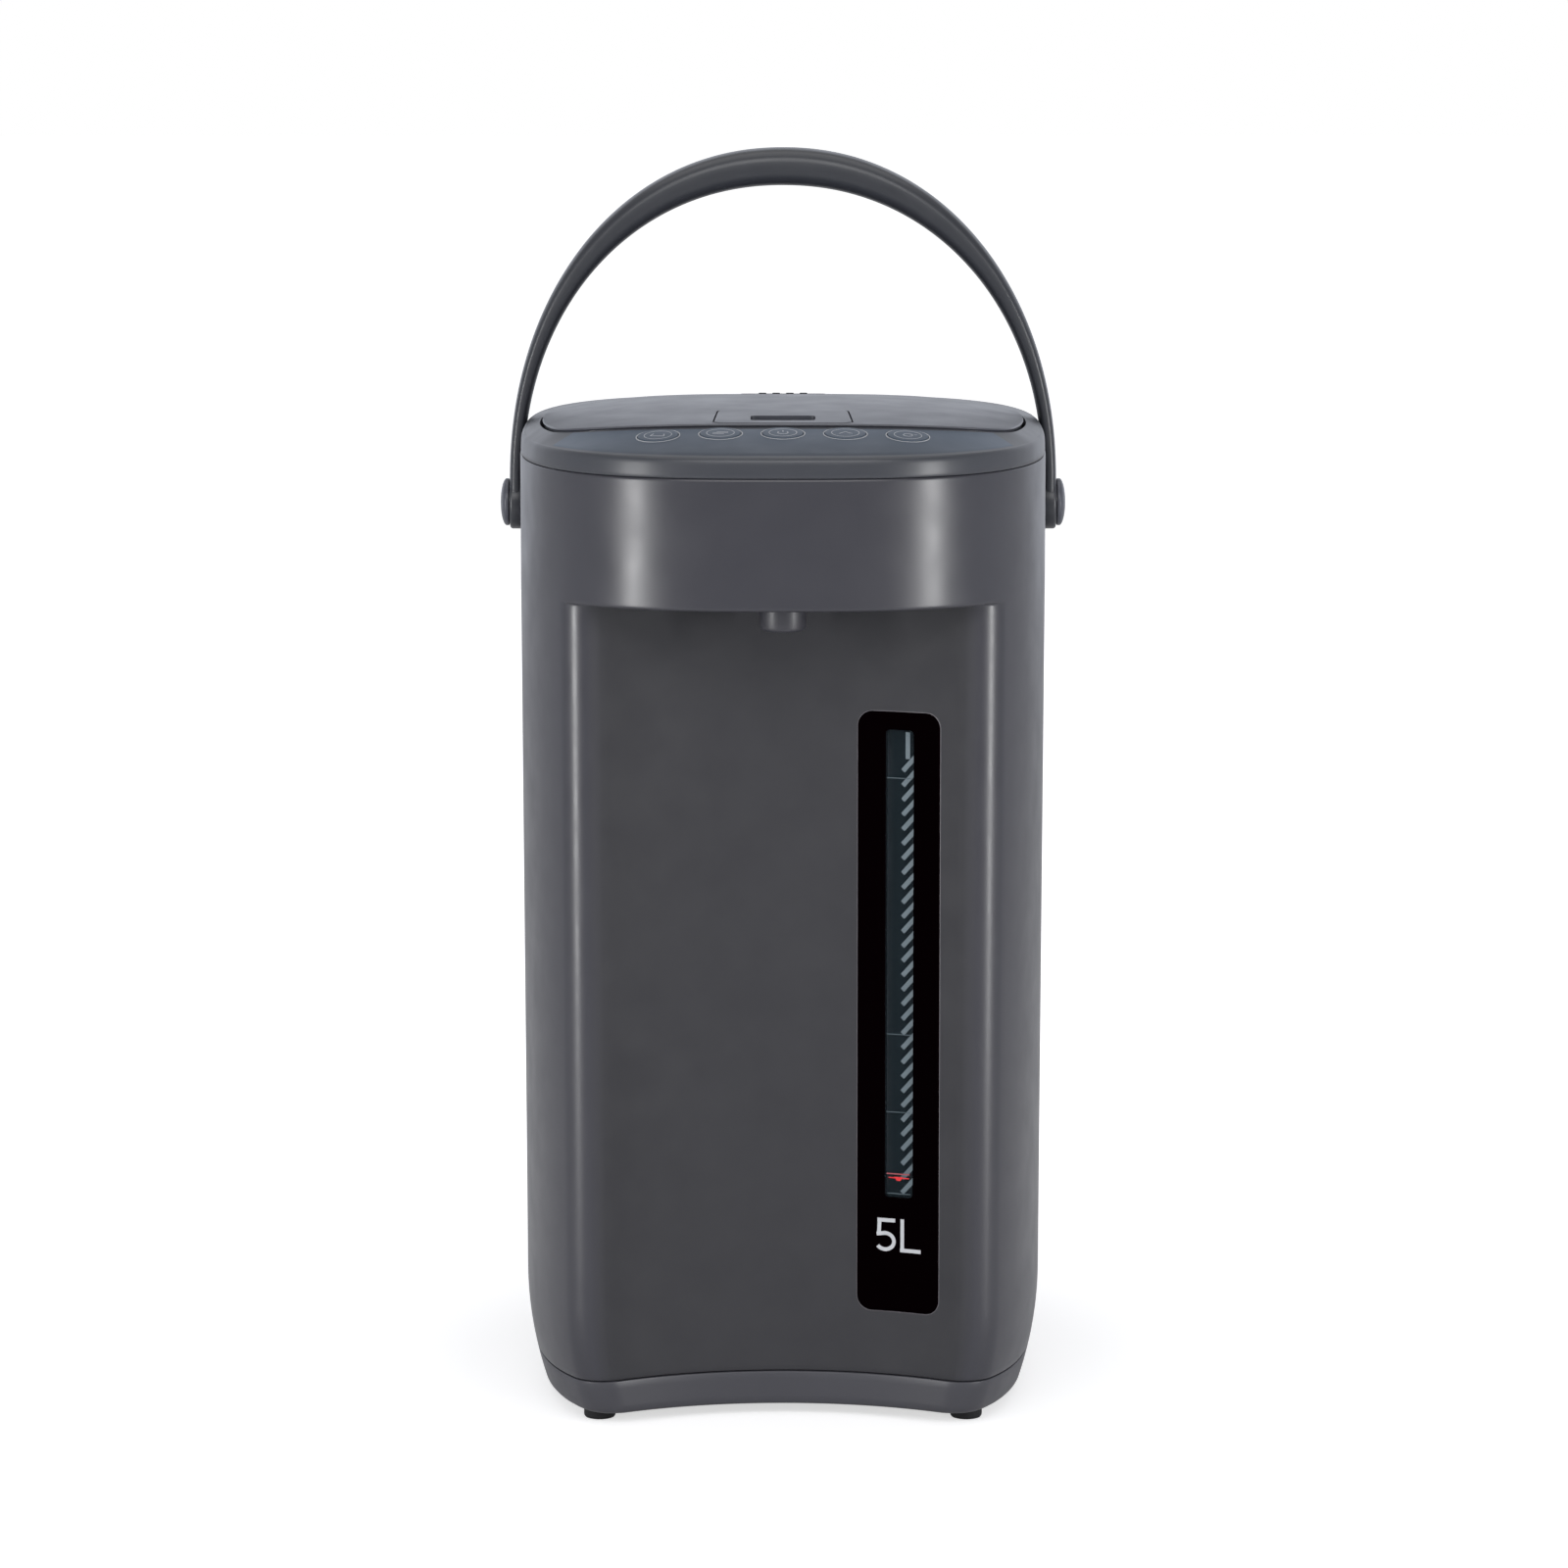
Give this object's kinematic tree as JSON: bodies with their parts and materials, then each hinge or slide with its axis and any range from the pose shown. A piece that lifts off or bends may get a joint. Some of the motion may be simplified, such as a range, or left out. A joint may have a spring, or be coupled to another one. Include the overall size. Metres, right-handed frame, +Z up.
{
  "type": "electric thermo pot",
  "caption": "Free-standing hot water dispenser with a hinged lid, bail handle, control keys, pump-fed spout over a cup bay, level window and steel vessel.",
  "frame": {"origin": "on the ground, under the middle of the body's plan", "axes": "+Z up, -Y towards the spout and control panel, +X to the right seen from the front"},
  "size_m": [0.2204, 0.29, 0.4711],
  "materials": {
    "base_grey": "fine grain",
    "rubber_black": "matt",
    "steel": "stainless",
    "inner_black": "moulded",
    "casing_grey": "slate grey, satin",
    "collar_grey": "satin",
    "panel_blue_grey": "glossy film",
    "circuit_green": "lacquered board",
    "dark_part": "moulded",
    "key_grey": "glossy",
    "window_black": "high gloss",
    "window_clear": "clear",
    "tube_clear": "clear",
    "scale_blue": "printed strip",
    "silicone": "translucent white",
    "white_plastic": "moulded",
    "nozzle_grey": "moulded",
    "insulation": "felt",
    "heater_metal": "cast",
    "copper": "wound wire",
    "lid_grey": "satin",
    "handle_grey": "satin"
  },
  "bodies": {
    "pot_body": {"base_tray": "base_grey", "rubber_feet": "rubber_black", "base_screws": "steel", "vessel_posts": "inner_black", "casing": "casing_grey", "collar": "collar_grey", "control_panel": "panel_blue_grey", "control_board": "circuit_green", "key_switches": "dark_part", "window_plate": "window_black", "window_lens": "window_clear", "level_tube": "tube_clear", "level_scale": "scale_blue", "pump_elbow": "silicone", "riser_sleeve": "silicone", "tip_valve": "white_plastic", "spout_pipe": "silicone", "nozzle": "nozzle_grey", "vessel": "steel", "vessel_seal": "silicone", "mouth_ring": "inner_black", "insulation_sleeve": "insulation", "heater_plate": "heater_metal", "thermostat": "white_plastic", "outlet_hose": "silicone", "pump_housing": "white_plastic", "motor_can": "steel", "power_board": "circuit_green", "transformer": "copper", "power_inlet": "dark_part", "inlet_pins": "copper", "hinge_pin": "steel", "pivot_pins": "steel", "pivot_caps": "handle_grey"},
    "lid": {"lid_cover": "lid_grey", "lid_base": "inner_black", "inner_lid": "steel", "lid_gasket": "silicone", "steam_vent": "lid_grey", "latch_pin": "steel", "latch_spring": "steel"},
    "latch": {"lid_latch": "lid_grey"},
    "handle": {"handle": "handle_grey"},
    "key_1_button": {"key_1": "key_grey"},
    "key_2_button": {"key_2": "key_grey"},
    "key_3_button": {"key_3": "key_grey"},
    "key_4_button": {"key_4": "key_grey"},
    "key_5_button": {"key_5": "key_grey"},
    "pump_motor_rotor": {"motor_rotor": "copper"},
    "impeller": {"pump_impeller": "white_plastic"},
    "valve_ball": {"tip_valve_ball": "steel"}
  },
  "joints": [
    {"name": "lid_hinge", "type": "hinge", "parent": "pot_body", "child": "lid", "pos_m": [0, 0.121, 0.365], "axis": [-1, 0, 0], "range_deg": [0, 72]},
    {"name": "latch_lift", "type": "hinge", "parent": "lid", "child": "latch", "pos_m": [0, -0.0645, 0.3729], "axis": [-1, 0, 0], "range_deg": [0, 8], "stiffness_Nm_per_rad": 0.06, "springref_deg": -8.59},
    {"name": "handle_swing", "type": "hinge", "parent": "pot_body", "child": "handle", "pos_m": [0, 0.038, 0.3333], "axis": [-1, 0, 0], "range_deg": [0, 108]},
    {"name": "key_1_press", "type": "slide", "parent": "pot_body", "child": "key_1_button", "axis": [0.0693, 0.2045, -0.9764], "range_m": [0, 0.0006], "stiffness_N_per_m": 800, "springref_m": -0.0005},
    {"name": "key_2_press", "type": "slide", "parent": "pot_body", "child": "key_2_button", "axis": [0.0147, 0.1936, -0.981], "range_m": [0, 0.0006], "stiffness_N_per_m": 800, "springref_m": -0.0005},
    {"name": "key_3_press", "type": "slide", "parent": "pot_body", "child": "key_3_button", "axis": [0, 0.1904, -0.9817], "range_m": [0, 0.0006], "stiffness_N_per_m": 800, "springref_m": -0.0005},
    {"name": "key_4_press", "type": "slide", "parent": "pot_body", "child": "key_4_button", "axis": [-0.0147, 0.1936, -0.981], "range_m": [0, 0.0006], "stiffness_N_per_m": 800, "springref_m": -0.0005},
    {"name": "key_5_press", "type": "slide", "parent": "pot_body", "child": "key_5_button", "axis": [-0.0693, 0.2045, -0.9764], "range_m": [0, 0.0006], "stiffness_N_per_m": 800, "springref_m": -0.0005},
    {"name": "motor_spin", "type": "hinge", "parent": "pot_body", "child": "pump_motor_rotor", "pos_m": [0.04402, -0.06196, 0.02], "axis": [0, 0, 1], "continuous": true},
    {"name": "impeller_spin", "type": "hinge", "parent": "pot_body", "child": "impeller", "pos_m": [0.04402, -0.06196, 0.038], "axis": [0, 0, 1], "continuous": true},
    {"name": "valve_ball_lift", "type": "slide", "parent": "pot_body", "child": "valve_ball", "axis": [0, 0, 1], "range_m": [0, 0.004]}
  ],
  "couplings": [
    {"joint": "handle_swing", "follows": "lid_hinge", "ratio": 1.5},
    {"joint": "impeller_spin", "follows": "motor_spin", "ratio": 1}
  ]
}
